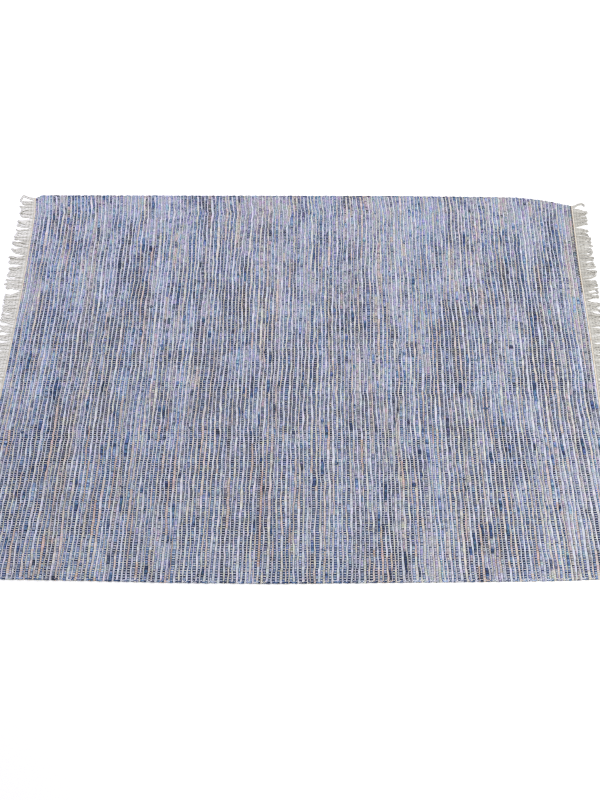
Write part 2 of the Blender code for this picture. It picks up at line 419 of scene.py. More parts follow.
threads = {
    "gapTop": 2.6 * mm,
    "ragTop": 7.2 * mm,
    "yarnTop": 5.8 * mm,
    "lumpRise": 1.6 * mm,
    "fatRise": 0.5 * mm,
    "ragShare": 0.52,               # of a pair's width
    "shareNoise": ((0.03, 14), (0.045, 4)),     # how strong, how many warp ends
    "shareLean": (-0.04, 0.02),     # at the near and at the far side
    "lumpShare": 0.05,
    "shareRange": (0.42, 0.80),
    "shoulder": 0.14,               # of the rag's width, where its rounded side begins
    "shoulderRise": 0.74,
    "pinch": 0.55 * mm,             # a warp end over a rag presses it down
    "yarnPinch": 0.5 * mm,
    "pinchRange": (0.3, 1.5),
    "bulge": 0.45 * mm,             # and the rag swells sideways between warp ends
    "shoulderBulge": 0.7,           # of that, at the shoulder
    "crumple": 0.55 * mm,
    "edgeDrop": ((0, 0.42), (1, 0.82), (2, 0.96), (3, 1.0)),    # of the height, by warp end
    # slow drift of the rows, shared by neighbours: how far, how many rows and warp ends wide
    "driftRows": (2.4 * mm, 5.0, 34),
    "driftOwn": ((1.8 * mm, 12), (1.1 * mm, 4), (3.2 * mm, 50)),    # and each row's own
    "driftEnds": 0.04,              # it dies out over this length at both ends
    "closest": 0.50,                # of a pair's usual width, which no pair goes under
}
dice = np.random.default_rng(weft["seed"])


def softNoise(high, highStep, wideStep):
    # noise from -1 to 1 for every row and warp end, smooth over the steps given
    coarse = dice.uniform(-1, 1, (int(high / highStep) + 3, int(rows / wideStep) + 3))
    down, across = np.arange(high) / highStep, np.arange(rows) / wideStep
    r, c = down.astype(int), across.astype(int)
    fr, fc = down - r, across - c
    fr, fc = (fr * fr * (3 - 2 * fr))[:, None], (fc * fc * (3 - 2 * fc))[None, :]
    upper = coarse[r][:, c] * (1 - fc) + coarse[r][:, c + 1] * fc
    lower = coarse[r + 1][:, c] * (1 - fc) + coarse[r + 1][:, c + 1] * fc
    return upper * (1 - fr) + lower * fr


def rowNoise(high, step):
    # the same with no likeness between rows, each row starting at a place of its own
    coarse = dice.uniform(-1, 1, (high, int(rows / step) + 3))
    across = np.arange(rows) / step + dice.uniform(0, 1, (high, 1))
    c = across.astype(int)
    f = across - c
    f = f * f * (3 - 2 * f)
    return np.take_along_axis(coarse, c, 1) * (1 - f) + np.take_along_axis(coarse, c + 1, 1) * f


def fromNearToFar(values):
    # one value for every warp end, from the near selvedge's to the far selvedge's
    return np.linspace(*values, rows)


def drawRuns(total, length):
    # stretches of thread one after another, as (first warp end, last, number)
    median, spread, least, most = length
    at, number = 0, 0
    while at < total:
        run = np.clip(dice.lognormal(math.log(median), spread), least, most)
        end = at + max(1, round(run / warpStep))
        yield at, end, number
        at, number = end, number + 1


def pickKind(kinds):
    shares = np.array([kind[0] for kind in kinds])
    return kinds[dice.choice(len(kinds), p=shares / shares.sum())][1:]


def layInRows(values):
    # one thread goes to and fro, so every second row runs the other way
    grid = values.reshape(pairs, rows).copy()
    grid[0::2] = grid[0::2, ::-1]
    return grid


def drawRag():
    total = pairs * rows
    tone, warmth, girth, lump, fat = (np.zeros(total) for _ in range(5))
    for at, end, _ in drawRuns(total, weft["batchLength"]):
        tone[at:end] = dice.normal(0, weft["batchTone"])
        warmth[at:end] = dice.normal(0, weft["batchWarmth"])
    for at, end, _ in drawRuns(total, weft["stripLength"]):
        middle, spread, warm = pickKind(weft["denims"])
        tone[at:end] += dice.normal(middle, spread)
        warmth[at:end] = np.clip(warmth[at:end] + dice.normal(warm, weft["stripWarmth"]), -1, 1)
        girth[at:end] = dice.normal(1.0, weft["girthSpread"])
        if dice.random() < weft["knotShare"]:
            lump[at:at + 3] = dice.uniform(*weft["knotSize"])
    for at, end, number in drawRuns(total, weft["twistLength"]):
        lift = dice.uniform(*weft["backLift"]) if number % 2 else weft["faceLift"]
        tone[at:end] += weft["twistLift"] * lift
        if dice.random() < weft["fatShare"]:
            stop = end + 2
            fat[at:stop] = 1.0
            tone[at:stop] += dice.uniform(*weft["fatTone"]) - tone[at]
            warmth[at:stop] = weft["fatWarmth"][int(dice.random() >= weft["fatBlue"])]
    return [layInRows(part) for part in (tone, warmth, girth, lump, fat)]


def drawYarn():
    total = pairs * rows
    tone = np.zeros(total)
    for at, end, _ in drawRuns(total, weft["yarnLength"]):
        tone[at:end] = dice.normal(pickKind(weft["yarns"])[0], weft["yarnSpread"])
    return layInRows(tone)


def soften(values):
    # over three warp ends, so that a rag swells and thins gradually
    return (np.roll(values, 1, axis=1) + 2 * values + np.roll(values, -1, axis=1)) / 4


ragTone, ragWarmth, ragGirth, ragLump, ragFat = drawRag()
yarnTone = drawYarn() * fromNearToFar(weft["yarnContrast"])
# painted shade on the yarn where it sinks between the rags, and the dark last weft
yarnShadeAndDark = np.full((pairs, rows), 0.5)
for strong, step in weft["yarnSunkShade"]:
    yarnShadeAndDark += strong * rowNoise(pairs, step)
yarnShadeAndDark += weft["yarnShadeSpeckle"] * dice.uniform(-1, 1, (pairs, rows))
yarnShadeAndDark = np.clip(yarnShadeAndDark, 0, 1)
under = np.arange(rows) % 2 == 1        # warp ends that pass under the rag, where it puffs up
# the rug has faded more towards its far side and towards the right
ragTone = weft["middleTone"] + (ragTone - weft["middleTone"]) * fromNearToFar(weft["contrast"])
for strong, rowStep, warpEnds in weft["patches"]:
    ragTone += strong * softNoise(pairs, rowStep, warpEnds)
ragTone += weft["speckle"][0] * rowNoise(pairs, weft["speckle"][1])
ragTone += readTable(weft["fadedAcross"], fromNearToFar((-rug["width"] / 2, rug["width"] / 2)))
ragTone += readTable(weft["fadedAlong"], np.arange(pairs)[:, None] * pitch)
ragWarmth = np.clip(ragWarmth + fromNearToFar(weft["warmer"]), -1, 1)
ragTone += weft["puffTone"] * dice.normal(size=(pairs, rows)) * under
ragTone = np.clip(ragTone + weft["knotTone"] * ragLump, 0.0, 1.0)
ragGirth = soften(ragGirth + (weft["fatGirth"] - 1) * ragFat)
ragFat = soften(ragFat)

# where each pair begins, for every warp end
startX = np.repeat(pairEnds[:, None] * pitch, rows, axis=1)
felt = readTable(rug["wanderAcross"], np.arange(rows) / rug["warpSteps"])
swing = np.sin(np.pi * startX / rug["length"])
wave = np.sin(2 * np.pi * rug["wanderWaves"] * startX / rug["length"])
startX += rug["wander"] * felt * swing * wave
hold = np.clip(np.minimum(startX, rug["length"] - startX) / threads["driftEnds"], 0, 1)
far, rowStep, warpEnds = threads["driftRows"]
startX += far * hold * softNoise(pairs + 1, rowStep, warpEnds)
for far, step in threads["driftOwn"]:
    startX += far * hold * rowNoise(pairs + 1, step)
wide = np.maximum(np.diff(startX, axis=0), threads["closest"] * pitch)
wide *= rug["length"] / wide.sum(axis=0)
startX[1:] = np.cumsum(wide, axis=0)
ragShare = threads["ragShare"] * ragGirth
for strong, step in threads["shareNoise"]:
    ragShare += strong * rowNoise(pairs, step)
ragShare += fromNearToFar(threads["shareLean"]) + threads["lumpShare"] * ragLump
ragShare = np.clip(ragShare, *threads["shareRange"])
place, share, dim = weft["lastWeft"]
farPart = np.arange(rows) > (place / rug["width"] + 0.5) * rows
ragShare[-1, farPart] = share
yarnShadeAndDark[-1, farPart] = dim


def findStretch(x, low, high):
    # the row of the weave at that distance along, and its first and last warp end
    first, last = (round((y + rug["width"] / 2) / warpStep) for y in (low, high))
    middle = (first + last) // 2
    pair = np.searchsorted(startX[:, middle], x) - 1
    return int(np.clip(pair, 0, pairs - 1)), first, last


for x, low, high, wide, tone, warmth in weft["streaks"]:
    pair, first, last = findStretch(x, low, high)
    for row in range(pair, min(pair + wide, pairs)):
        start, stop = (first, last) + dice.integers(0, weft["streakFray"] + 1, 2) * (1, -1)
        weight = weft["streakWeight"] if stop - start > weft["longStreak"] else 1.0
        for grid, value in ((ragTone, tone), (ragWarmth, warmth)):
            grid[row, start:stop] += weight * (value - grid[row, start:stop])
for x, low, high, tone in weft["yarnStreaks"]:
    pair, first, last = findStretch(x, low, high)
    yarnTone[pair, first:last] = tone
ragMiddle = startX[:-1] + 0.5 * ragShare * (startX[1:] - startX[:-1])
ragCrown = (threads["ragTop"] + ragRise[:, None] + threads["lumpRise"] * ragLump
            + threads["fatRise"] * ragFat)
print("weft drawn:", pairs, "pairs across", rows, "warp ends")


# share of the pair, in the weave's own map, of each column of points in a pair
columnShares = (0.0, 0.10, 0.33, 0.56, 0.66, 0.83)
bandStarts = (0, 30, 60, 91, 121, 151)
toneNames = ("ragTone", "ragWarmth", "yarnTone", "yarnShadeAndDark", "ragFat")


def fieldY(x, row):
    # warp ends keep their spacing, except near a selvedge that draws in or bows out; a lobe
    # is felt only by the last few
    half = rug["width"] / 2
    level = row * warpStep - half
    near, far = level + half, half - level
    bow = readTable(rug["farEdge"], x) * np.exp(-far / rug["bowFelt"])
    bow -= readTable(rug["nearEdge"], x) * np.exp(-near / rug["bowFelt"])
    return (level + bow + nearLobe(x) * np.exp(-near / rug["lobeFelt"])
            + farLobe(x) * np.exp(-far / rug["lobeFelt"]))


def reliefColumns():
    # x, height, place in the weave and tones of every column of points, from left to right
    sideways = np.where(under, threads["bulge"], -threads["bulge"])
    pinch = np.where(under, 0.0, threads["pinch"])
    yarnPinch = np.where(under, threads["yarnPinch"], 0.0)
    uneven = dice.uniform(*threads["pinchRange"], (pairs, rows))
    shoulder, low = threads["shoulder"], threads["gapTop"]
    higher = threads["shoulderBulge"] * sideways
    columns = []
    for pair in range(pairs):
        left, width = startX[pair], startX[pair + 1] - startX[pair]
        rag = width * ragShare[pair]
        crown = ragCrown[pair] - pinch * uneven[pair]
        side = low + threads["shoulderRise"] * (crown - low)
        crumple = threads["crumple"] * dice.normal(size=(6, rows)) * under
        points = (
            (left - sideways, low),
            (left + shoulder * rag - higher + crumple[0], side + crumple[1]),
            (left + 0.5 * rag + crumple[2], crown + crumple[3]),
            (left + (1 - shoulder) * rag + higher + crumple[4], side + crumple[5]),
            (left + rag + sideways, low),
            (left + 0.5 * (rag + width), threads["yarnTop"] - yarnPinch),
        )
        for share, (x, height) in zip(columnShares, points):
            # a pair's first points are still the sides of the yarn before it
            yarn = yarnTone[max(pair - 1, 0)] if share == 0 else yarnTone[pair]
            columns.append((x, height, pair + share, ragTone[pair], ragWarmth[pair], yarn,
                            yarnShadeAndDark[pair], ragFat[pair]))
    columns.append((startX[pairs], low, pairs, ragTone[-1], ragWarmth[-1], yarnTone[-1],
                    yarnShadeAndDark[-1], ragFat[-1]))
    return columns


def pourBakeMap(mesh, column, row, wide, topFaces):
    # a flat map of the band for its textures: the relief fills most of it, and the walls
    # and the underside each have a narrow strip beside it
    corners = readValues(mesh.loops, "vertex_index")
    sides = readValues(mesh.polygons, "loop_total")
    face = np.repeat(np.arange(len(sides)), sides)
    c, r = column[corners] / (wide - 1), row[corners] / (rows - 1)
    below = corners >= wide * rows

    def whole(flags):
        # true on the faces whose points all have the flag
        return (np.bincount(face, flags) == sides)[face]

    wall = (face >= topFaces) & (sides[face] == 4)
    u, v = 0.005 + 0.875 * c, 0.005 + 0.99 * r
    for start, edge in ((0.890, c == 0), (0.910, c == 1)):
        on = wall & whole(edge)
        u[on] = start + 0.015 * below[on]
    for start, edge in ((0.01, r == 0), (0.51, r == 1)):
        on = wall & whole(edge)
        u[on] = 0.935 + 0.02 * below[on]
        v[on] = start + 0.48 * c[on]
    flat = sides[face] > 4
    u[flat] = 0.965 + 0.03 * c[flat]
    addMap(mesh, "OFBake", np.stack((u, v), axis=1))


def makeBand(number, firstPair, lastPair, columns, material):
    # one band of the field: its relief, walls down to the floor and a flat underside
    own = columns[firstPair * len(columnShares):lastPair * len(columnShares) + 1]
    wide = len(own)
    bm, topFaces = closedSlab(wide - 1, rows - 1)
    bmesh.ops.recalc_face_normals(bm, faces=bm.faces)
    mesh = meshFrom(bm, "weave_%d" % number)

    points = readValues(mesh.vertices, "co", np.float32, 3)
    column = np.rint((points[:, 0] + 0.5) * (wide - 1)).astype(int)
    row = np.rint((points[:, 1] + 0.5) * (rows - 1)).astype(int)
    x, height, share, *tones = (
        np.array([np.broadcast_to(part, rows) for part in parts])[column, row]
        for parts in zip(*own))
    z = height * readTable(threads["edgeDrop"], np.minimum(row, rug["warpSteps"] - row))
    z[wide * rows:] = 0.0
    mesh.vertices.foreach_set("co", onRug(x, fieldY(x, row), z).astype(np.float32).ravel())
    for label, values in zip(toneNames, tones):
        addLayer(mesh, label, values)
    corners = readValues(mesh.loops, "vertex_index")
    addMap(mesh, "weave", np.stack((share, row), axis=1)[corners])
    pourBakeMap(mesh, column, row, wide, topFaces)
    smoothTop(mesh, topFaces)
    mesh.update()
    band = showPiece(mesh, material)
    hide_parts("woven_field")
    return band


yarnRamp = (
    (0.00, "#d2d6e3"),      # bleached
    (0.25, "#d9d9df"),
    (0.50, "#dad7cc"),      # unbleached
    (0.75, "#d8c6bb"),      # peach
    (1.00, "#c8a48e"),      # tan
)


def darken(add, colour, share):
    # the colour with that share of its light left
    grey = add("CombineXYZ", [share, share, share])
    return add("Mix", {0: 1.0, 6: colour, 7: grey}, data_type="RGBA",
               blend_type="MULTIPLY").outputs[2]


def finishCloth(add, colour, relief, deep, strong, grain, rough, sheen):
    # matt cloth: a bump deep and strong from the relief, and a roughness that follows the grain
    bump = add("Bump", {"Height": relief, "Distance": deep, "Strength": strong})
    rough = add("MapRange", [grain, 0.0, 1.0, rough[0], rough[1]])
    shader = add("BsdfPrincipled", {
        "Base Color": colour, "Roughness": rough, "Normal": bump, "Specular IOR Level": 0.25,
        "Sheen Weight": sheen[0], "Sheen Roughness": sheen[1]})
    add("OutputMaterial", {"Surface": shader})


def ragColour(add, tone, warmth, place):
    # Worn denim: indigo on the face, paler where the dye has rubbed off, overdyed or bleached
    # in some strips. The eye reads it as flecks of blue, grey and a little brown.
    # The folds and cut edges make flecks on the rag, about 4 mm across.
    drawn = add("VectorMath", [place, (0.27, 0.22, 0.27)], operation="MULTIPLY")
    fleck = add("TexNoise", {"Vector": drawn, "Scale": 1.0, "Detail": 2.0, "Roughness": 0.6})
    shift = add("MapRange", [fleck, 0.28, 0.72, -0.32, 0.32])
    mixed = add("Math", [tone, shift], operation="ADD")
    bright = add("ValToRGB", [mixed], ramp=(
        (0.0, "#1a2848"), (0.25, "#253f68"), (0.5, "#486b98"), (0.75, "#7594bc"), (1.0, "#adc0da")))
    plain = add("ValToRGB", [mixed], ramp=(
        (0.0, "#1b2440"), (0.25, "#293552"), (0.5, "#48597b"), (0.75, "#7482a1"), (1.0, "#a6aec4")))
    warm = add("ValToRGB", [mixed], ramp=(
        (0.0, "#221f27"), (0.3, "#3b3940"), (0.55, "#66626b"), (0.8, "#9a9092"), (1.0, "#c8bab2")))
    toBright = add("MapRange", [warmth, -1.0, 0.0, 1.0, 0.0])
    toWarm = add("MapRange", [warmth])
    cool = add("Mix", {0: toBright, 6: plain, 7: bright}, data_type="RGBA").outputs[2]
    return add("Mix", {0: toWarm, 6: cool, 7: warm}, data_type="RGBA").outputs[2]


def castColour(add, colour, scale, casts):
    # a faint cast from violet to green, which differs from row to row and along each row
    split = add("SeparateXYZ", [scale])
    rowNumber = add("Math", [split.outputs[0], pitch / mm / 2], operation="SNAP")
    along = add("Math", [split.outputs[1], 0.045], operation="MULTIPLY")
    spot = add("CombineXYZ", [rowNumber, along])
    noise = add("TexNoise", {"Vector": spot, "Scale": 1.0, "Detail": 1.0})
    cast = add("ValToRGB", [noise], ramp=tuple(zip((0.3, 0.5, 0.7), casts)))
    return add("Mix", {0: 1.0, 6: colour, 7: cast}, data_type="RGBA",
               blend_type="MULTIPLY").outputs[2]


def weaveMaterial():
    # Plain weave of denim rag and cotton yarn on a bleached cotton warp, woven by hand and not
    # pressed: matt, with pale warp ends across the rags and painted shade in the clefts beside
    # them.
    material, add = newMaterial("wovenDenimRag")
    weave = add("UVMap", uv_map="weave")
    split = add("SeparateXYZ", [weave])
    pair, warp = split.outputs[0], split.outputs[1]
    scale = add("VectorMath", [weave, (pitch / mm, warpStep / mm, 1.0)],
                operation="MULTIPLY")           # in millimetres
    share = add("Math", [pair], operation="FRACT")
    pairNumber = add("Math", [pair], operation="FLOOR")
    # the warp ends waver by a third of their spacing from one rag to the next
    slow = add("Math", [warp, 0.12], operation="MULTIPLY")
    spot = add("CombineXYZ", [pairNumber, slow])
    wobble = add("TexNoise", {"Vector": spot, "Scale": 1.0, "Detail": 1.0})
    bent = add("Math", [wobble, 1.6, warp], operation="MULTIPLY_ADD")
    bent = add("Math", [bent, 0.8], operation="SUBTRACT")
    # 0 on a warp end that passes over the rag, 1 on one that passes under it
    passing = add("Math", [bent, 1.0], operation="PINGPONG")
    onRag = add("MapRange", [share, 0.665, 0.695, 1.0, 0.0])

    # from 0 at the middle of the rag or the yarn to 1 at its sides
    sideways = []
    for middle, half in ((0.33, 0.33), (0.83, 0.17)):
        off = add("Math", [share, middle], operation="SUBTRACT")
        off = add("Math", [off], operation="ABSOLUTE")
        sideways.append(add("Math", [off, half], operation="DIVIDE"))
    ragTo, yarnTo = sideways
    fromMiddle = add("Mix", {0: onRag, 2: yarnTo, 3: ragTo})

    # a warp end shows 2.8 mm wide over a rag; it sinks in more at some crossings, and
    # where the rag is fat it is buried
    warpHalf = add("Math", [bent, 2.0], operation="DIVIDE")
    warpNumber = add("Math", [warpHalf], operation="ROUND")
    crossing = add("CombineXYZ", [pairNumber, warpNumber])
    chance = add("TexWhiteNoise", {"Vector": crossing}, noise_dimensions="2D")
    shows = add("MapRange", [chance, 0.0, 1.0, 0.65, 1.15])
    patch = add("TexNoise", {"Vector": scale, "Scale": 0.035, "Detail": 2.0})
    patch = add("MapRange", [patch, 0.35, 0.65, 0.75, 1.1])
    # and the far part of the rug is beaten closer than the near part
    beaten = add("MapRange", [warp, 0.0, float(rows), 0.70, 0.24])
    tone, warmth, yarnTone, sunkShadeAndDark, fat = (
        add("Attribute", attribute_name=name).outputs["Fac"] for name in toneNames)
    bare = add("MapRange", [fat, 0.0, 1.0, 1.0, 0.15])
    for less in (add("Math", [patch, beaten], operation="MULTIPLY"), bare):
        shows = add("Math", [shows, less], operation="MULTIPLY")
    # the rag puffs out round between two warp ends, so a warp end shows wider at its ends
    puff = add("Math", [ragTo, 2.0], operation="POWER")
    puff = add("Math", [puff, -0.28, passing], operation="MULTIPLY_ADD")
    puff = add("Math", [chance, 0.09, puff], operation="MULTIPLY_ADD")
    overRag = add("MapRange", [puff, 0.34, 0.50, 1.0, 0.0], interpolation_type="SMOOTHSTEP")
    overRag = add("Math", [overRag, onRag], operation="MULTIPLY")
    dash = add("Math", [overRag, shows], use_clamp=True, operation="MULTIPLY")
    overYarn = add("MapRange", [passing, 0.55, 0.8, 0.0, 0.6], interpolation_type="SMOOTHSTEP")
    offRag = add("Math", [1.0, onRag], operation="SUBTRACT")
    bead = add("Math", [overYarn, offRag], operation="MULTIPLY")

    rag = ragColour(add, tone, warmth, scale)
    rag = castColour(add, rag, scale, ("#ffddff", "#f5f5f5", "#e2ffe2"))
    # painted shade where the yarn sinks in between the rags here and there, and the dark last weft
    yarn = add("ValToRGB", [yarnTone], ramp=yarnRamp)
    sunkShadeAndDark = add("MapRange", [sunkShadeAndDark, 0.0, 1.0, 1.0, 0.56], clamp=False)
    yarn = darken(add, yarn, sunkShadeAndDark)
    yarn = castColour(add, yarn, scale, ("#fff3ff", "#fafafa", "#f6fff6"))
    warpColour = add("ValToRGB", [chance], ramp=(
        (0.0, "#b9c3dc"), (0.35, "#cacfe0"), (0.7, "#d6d7e2"), (1.0, "#e0dcd0")))
    cloth = add("Mix", {0: onRag, 6: yarn, 7: rag}, data_type="RGBA").outputs[2]
    for shown in (dash, bead):
        cloth = add("Mix", {0: shown, 6: cloth, 7: warpColour}, data_type="RGBA").outputs[2]
    # painted shade in the clefts beside each rag and yarn, darkest at the near side
    deepestCleftShade = add("MapRange", [warp, 0.0, float(rows), 0.38, 0.70])
    cleftShade = add("MapRange", [fromMiddle, 0.68, 1.0, 1.0, deepestCleftShade], interpolation_type="SMOOTHSTEP")
    # painted shade on the last warp ends at the far selvedge, which are drawn down under the turns
    edge = add("MapRange", [warp, rows - 3.4, rows - 1.2, 1.0, 0.58])
    cloth = darken(add, cloth, add("Math", [cleftShade, edge], operation="MULTIPLY"))

    # creases run along the rag, about 2 mm wide and 15 mm long
    creasePlace = add("VectorMath", [scale, (0.50, 0.07, 1.0)], operation="MULTIPLY")
    crease = add("TexNoise", {"Vector": creasePlace, "Scale": 1.0, "Detail": 2.0})
    relief = add("Math", [crease, 0.5, overRag], operation="MULTIPLY_ADD")
    finishCloth(add, cloth, relief, 1.0 * mm, 0.8, crease, (0.82, 0.97), (0.06, 0.6))
    return material


def stripMaterial():
    # The same worn denim where it turns back, is knotted or ends: creased, matt, no warp on it.
    material, add = newMaterial("wornDenimStrip")
    place = add("TexCoord").outputs["Object"]
    scale = add("VectorMath", [place, (1 / mm, 1 / mm, 1 / mm)], operation="MULTIPLY")
    tone, warmth = (add("Attribute", attribute_name=name).outputs["Fac"] for name in toneNames[:2])
    crease = add("TexNoise", {"Vector": scale, "Scale": 0.5, "Detail": 2.0})
    denim = ragColour(add, tone, warmth, scale)
    finishCloth(add, denim, crease, 0.8 * mm, 0.7, crease, (0.85, 0.97), (0.06, 0.6))
    return material


def yarnMaterial():
    # Thin bleached cotton yarn, spun and slightly hairy: matt and pale, some lengths dyed peach.
    material, add = newMaterial("bleachedCottonYarn")
    place = add("TexCoord").outputs["Object"]
    fibre = add("TexNoise", {"Vector": place, "Scale": 900.0, "Detail": 2.0})
    tone = add("Attribute", attribute_name="yarnTone").outputs["Fac"]
    colour = add("ValToRGB", [tone], ramp=yarnRamp)
    finishCloth(add, colour, fibre, 0.3 * mm, 0.6, fibre, (0.80, 0.92), (0.06, 0.5))
    return material


wovenDenimRag = weaveMaterial()
wornDenimStrip = stripMaterial()
bleachedCottonYarn = yarnMaterial()
columns = reliefColumns()
bandRanges = list(zip(bandStarts, bandStarts[1:]))
bands = [makeBand(number, *band, columns, wovenDenimRag)
         for number, band in enumerate(bandRanges, start=1)]
print("field woven in", len(bands), "bands")


# Where the threads turn back at the selvedges, and the knots and ends on the rag.
loops = {
    "ragThick": 2.8 * mm,           # half the thickness of a rag in its turn
    "yarnThick": 1.4 * mm,
    "endThick": 1.7 * mm,
    "ragHeight": 3.0 * mm,          # of the turn's middle above the floor
    "yarnHeight": 4.6 * mm,
    "deep": 0.70,                   # how far a turn reaches out, as a share of its half width
    "tuck": 2.5 * mm,               # some turns are drawn in more than others
    "yarnTuck": (1.2 * mm, 1.5 * mm, 4.0 * mm),     # least, and more for a shown and a hidden turn
    "yarnDrop": 1.5 * mm,           # how much lower a hidden turn lies
    # how much paler a turn is than its row, by distance along, at the far and the near selvedge
    "farTone": ((0.0, -0.26), (0.25, -0.20), (0.45, -0.12), (2.0, -0.12)),
    # at the near selvedge, painted light on turns whose sides lie in shade
    "nearPaintedLight": ((0.0, 0.00), (0.35, 0.02), (0.5, 0.20), (1.3, 0.22), (2.0, 0.08)),
    # the share of the yarn's turns that lie outside the rag's, by distance along
    "yarnShows": ((0.0, 0.30), (0.9, 0.30), (1.15, 0.75), (2.0, 0.75)),
    "sides": 8,
    "steps": 8,
    "uneven": 0.35 * mm,
    "lowest": 0.1 * mm,             # above the floor
    "knotsPerBand": 12,
    "knotHalf": (2.4 * mm, 3.6 * mm, 1.5 * mm),
    "knotSize": (0.7, 1.15),
    "endsPerBand": 12,
    "endSize": (0.4, 0.9),          # of a turn's own size
    "endLean": (15, 60),            # degrees
    "endFlat": 0.6,
    "paler": (-0.05, 0.15),         # a knot or an end beside its rag
    "margin": 6,                    # warp ends at the selvedges that have no knot
    "seed": 11,
}
loopDice = np.random.default_rng(loops["seed"])


def halfRing(thick):
    # a round section turned through half a circle, from -x through -y to +x
    bm = bmesh.new()
    section = bmesh.ops.create_circle(bm, segments=loops["sides"], radius=thick)["verts"]
    stand = Matrix.Translation((-pitch / 2, 0, 0)) @ Matrix.Rotation(math.radians(90), 4, "X")
    bmesh.ops.transform(bm, matrix=stand, verts=section)
    bmesh.ops.spin(bm, geom=bm.edges[:], cent=(0, 0, 0), axis=(0, 0, 1), dvec=(0, 0, 0),
                   angle=math.pi, steps=loops["steps"], use_duplicate=False)
    closeRims(bm, loops["sides"])
    return meshFrom(bm, "halfRing")


def knotLump():
    bm = bmesh.new()
    bmesh.ops.create_icosphere(bm, subdivisions=2, radius=1.0)
    return meshFrom(bm, "knotLump")


def startPiece(*names):
    # an empty bmesh, and a float layer on it for each tone
    bm = bmesh.new()
    for name in names:
        bm.verts.layers.float.new(name)
    return bm, [bm.verts.layers.float[name] for name in names]


def addCopy(bm, shape, matrix, uneven, layers, values):
    # one more copy of a small shape, a little out of true, with its tones in float layers
    before = len(bm.verts)
    bm.from_mesh(shape)
    bm.verts.ensure_lookup_table()
    added = bm.verts[before:]
    bmesh.ops.transform(bm, matrix=matrix, verts=added)
    for vert in added:
        vert.co += Vector(loopDice.normal(0, uneven, 3))
        vert.co.z = max(vert.co.z, loops["lowest"])
        for layer, value in zip(layers, values):
            vert[layer] = value


def finishPiece(bm, name, material):
    mesh = meshFrom(bm, name)
    smoothTop(mesh, len(mesh.polygons))
    return showPiece(mesh, material)


def turnPlace(x, side, thick, height, tuck):
    # a turn's outermost point lies at the selvedge, and its legs run in under the rows
    edge = nearY(x) if side < 0 else farY(x)
    reach = loops["deep"] * pitch / 2 + thick + tuck
    move = Matrix.Translation(onRug(x, edge - side * reach, height))
    return move @ Matrix.Diagonal((1.0, -side * loops["deep"], 1.0, 1.0))


def makeTurns(number, firstPair, lastPair):
    rag, ragLayers = startPiece("ragTone", "ragWarmth")
    yarn, yarnLayers = startPiece("yarnTone")
    least, *more = loops["yarnTuck"]
    for pair in range(firstPair, lastPair - 1):
        side, row = (-1, 0) if pair % 2 == 0 else (1, rows - 1)
        x = (ragMiddle[pair, row] + ragMiddle[pair + 1, row]) / 2
        tuck = loopDice.uniform(0, loops["tuck"])
        place = turnPlace(x, side, loops["ragThick"], loops["ragHeight"], tuck)
        # at the near selvedge the lift is painted light, on turns whose sides lie in shade
        lift = readTable(loops["farTone" if side > 0 else "nearPaintedLight"], x)
        tones = min(max(ragTone[pair, row] + lift, 0.0), 1.0), ragWarmth[pair, row]
        addCopy(rag, ragRing, place, loops["uneven"], ragLayers, tones)
        # the yarn turns on the other selvedge's rhythm, round one leg of the rag
        side, row = -side, rows - 1 - row
        x = ragMiddle[pair + 1, row]
        hidden = int(loopDice.random() > readTable(loops["yarnShows"], x))
        tuck = least + more[hidden] * loopDice.random()
        height = loops["yarnHeight"] - loops["yarnDrop"] * hidden
        place = turnPlace(x, side, loops["yarnThick"], height, tuck)
        addCopy(yarn, yarnRing, place, loops["uneven"] / 2, yarnLayers, [yarnTone[pair, row]])
    return [finishPiece(rag, "ragTurns_%d" % number, wornDenimStrip),
            finishPiece(yarn, "yarnTurns_%d" % number, bleachedCottonYarn)]


def makeKnots(number, firstPair, lastPair):
    # lumps where two strips are joined, and short ends of rag that lie over a row or two
    bm, layers = startPiece("ragTone", "ragWarmth")
    margin = loops["margin"]
    joins = np.argwhere(ragLump[firstPair:lastPair, margin:-margin] > 0) + (firstPair, margin)
    count = loops["knotsPerBand"] + loops["endsPerBand"]
    chosen = loopDice.choice(len(joins), count, replace=False)
    for turn, (pair, row) in enumerate(joins[chosen]):
        x = ragMiddle[pair, row]
        tone = float(np.clip(ragTone[pair, row] + loopDice.uniform(*loops["paler"]), 0, 1))
        spin = Matrix.Rotation(loopDice.uniform(0, math.tau), 4, "Z")
        at = Matrix.Translation(onRug(x, fieldY(x, row), ragCrown[pair, row]))
        if turn < loops["knotsPerBand"]:
            size = loopDice.uniform(*loops["knotSize"])
            shape = lump
            place = at @ Matrix.Diagonal((*(size * half for half in loops["knotHalf"]), 1.0))
        else:
            size = loopDice.uniform(*loops["endSize"])
            shape = endRing
            lean = Matrix.Rotation(math.radians(loopDice.uniform(*loops["endLean"])), 4, "X")
            place = at @ spin @ lean @ Matrix.Diagonal((size, size, loops["endFlat"], 1.0))
        addCopy(bm, shape, place, loops["uneven"], layers, (tone, ragWarmth[pair, row]))
    return finishPiece(bm, "ragKnots_%d" % number, wornDenimStrip)


ragRing = halfRing(loops["ragThick"])
yarnRing = halfRing(loops["yarnThick"])
endRing = halfRing(loops["endThick"])
lump = knotLump()
smallPieces = [[*makeTurns(number, *band), makeKnots(number, *band)]
               for number, band in enumerate(bandRanges, start=1)]
print("turns, knots and loose ends added")


